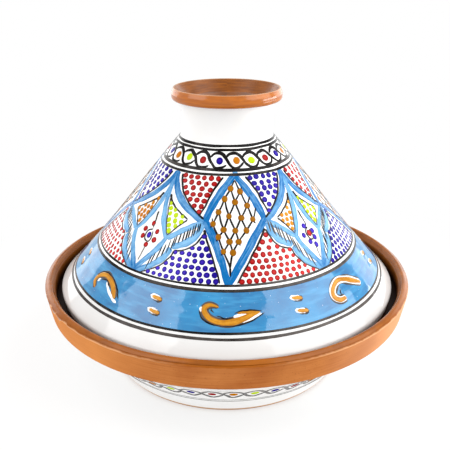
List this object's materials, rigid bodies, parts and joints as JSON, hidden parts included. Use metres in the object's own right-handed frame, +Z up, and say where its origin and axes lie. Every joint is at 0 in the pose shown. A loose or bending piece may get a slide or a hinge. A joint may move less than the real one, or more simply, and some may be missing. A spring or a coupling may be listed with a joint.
{
  "type": "tagine pot",
  "caption": "Round terracotta tagine: a shallow footed dish with a gallery, and a loose conical lid lifted by a hollow flared knob.",
  "frame": {"origin": "middle of the foot, on the table", "axes": "+Z up along the axis the pot was thrown on"},
  "size_m": [0.2998, 0.2998, 0.2264],
  "materials": {
    "terracotta": "matte",
    "glazed_terracotta": "gloss",
    "clear_glaze": "gloss",
    "white_glaze": "gloss",
    "blue_glaze": "gloss"
  },
  "bodies": {
    "dish": {"dish_bowl": "terracotta", "foot_ring": "terracotta", "gallery": "terracotta", "dish_rim": "terracotta", "dish_outer_glaze": "white_glaze", "dish_inner_glaze": "clear_glaze"},
    "lid": {"lid_cone": "terracotta", "knob_cup": "glazed_terracotta", "knob_roll": "glazed_terracotta", "lid_skirt_glaze": "white_glaze", "lid_blue_glaze": "blue_glaze", "lid_cone_glaze": "white_glaze", "neck_glaze": "white_glaze", "lid_inner_glaze": "clear_glaze"}
  },
  "joints": [
    {"name": "lid_lift", "type": "slide", "parent": "dish", "child": "lid", "axis": [0, 0, 1], "range_m": [0, 0.2]}
  ]
}
